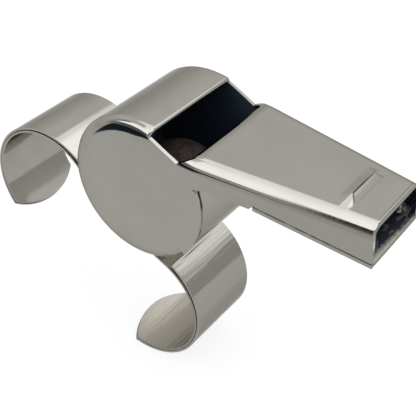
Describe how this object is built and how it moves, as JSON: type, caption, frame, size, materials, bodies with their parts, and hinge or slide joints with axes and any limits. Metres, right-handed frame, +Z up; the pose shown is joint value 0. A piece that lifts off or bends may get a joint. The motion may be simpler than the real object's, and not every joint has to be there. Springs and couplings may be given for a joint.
{
  "type": "pea whistle",
  "caption": "Sheet-metal pea whistle: round barrel with rounded rims, notched sound window, tapered mouthpiece with a bite groove, loose cork pea and a finger grip of curled strips.",
  "frame": {"origin": "centre of the front finger loop, in the middle of the whistle's width", "axes": "+X from the barrel towards the mouth, +Y along the barrel and both finger loops, +Z up, square to the level top plate"},
  "size_m": [0.0636, 0.0188, 0.0437],
  "materials": {
    "nickel": "brass sheet, nickel plated and polished",
    "solder": "soft solder, plated over, dull",
    "cork": "turned cork, dark"
  },
  "bodies": {
    "whistle": {"barrel_band": "nickel", "near_cheek": "nickel", "far_cheek": "nickel", "mouthpiece_top": "nickel", "mouthpiece_floor": "nickel", "near_mouth_solder": "solder", "far_mouth_solder": "solder", "finger_strip": "nickel", "front_backing_strip": "nickel", "rear_backing_strip": "nickel", "grip_solder": "solder"},
    "pea": {"pea": "cork"}
  },
  "joints": [
    {"name": "pea_orbit", "type": "hinge", "parent": "whistle", "child": "pea", "pos_m": [-0.00025, 0, 0.0224], "axis": [0, 1, 0], "continuous": true}
  ]
}
